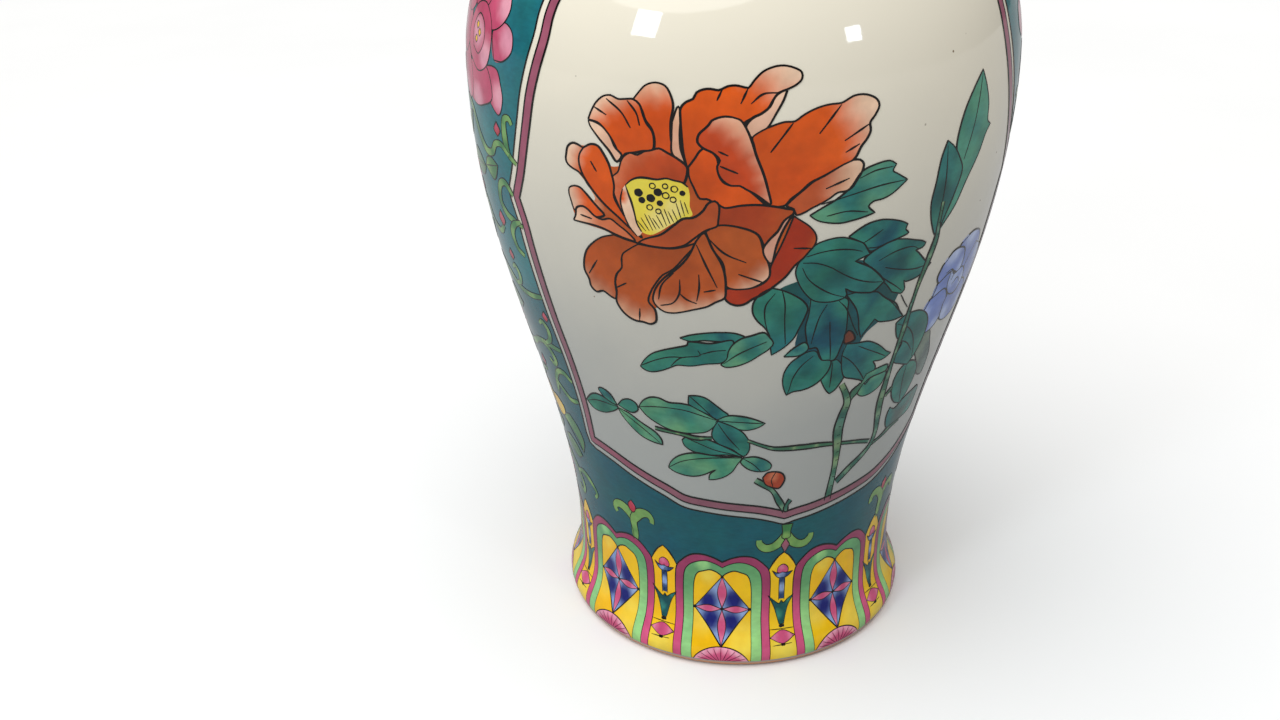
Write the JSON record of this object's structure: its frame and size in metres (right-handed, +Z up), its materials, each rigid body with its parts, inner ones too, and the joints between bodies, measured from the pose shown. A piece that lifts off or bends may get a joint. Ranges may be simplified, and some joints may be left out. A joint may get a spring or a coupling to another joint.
{
  "type": "ginger jar",
  "caption": "Covered baluster jar with a splayed foot, full shoulder, short neck and a domed, flanged cover with a bud knob.",
  "frame": {"origin": "centre of the circle that the foot stands on, on the table plane", "axes": "+Z up the jar's axis, towards the cover; -Y towards the middle of the front painted panel"},
  "size_m": [0.22, 0.22, 0.433],
  "materials": {
    "white_glaze": "glossy",
    "turquoise_enamel": "glossy",
    "yellow_enamel": "glossy",
    "iron_red_enamel": "glossy",
    "green_enamel": "glossy",
    "pink_enamel": "glossy",
    "blue_enamel": "glossy",
    "black_enamel": "glossy",
    "biscuit": "matt"
  },
  "bodies": {
    "jar": {"foot": "yellow_enamel", "lower_body": "turquoise_enamel", "upper_body": "white_glaze", "neck": "turquoise_enamel"},
    "lid": {"lid_dome": "turquoise_enamel", "lid_flange": "biscuit", "lid_knob": "iron_red_enamel"}
  },
  "joints": [
    {"name": "lid_lift", "type": "slide", "parent": "jar", "child": "lid", "axis": [0, 0, 1], "range_m": [0, 0.12]}
  ]
}
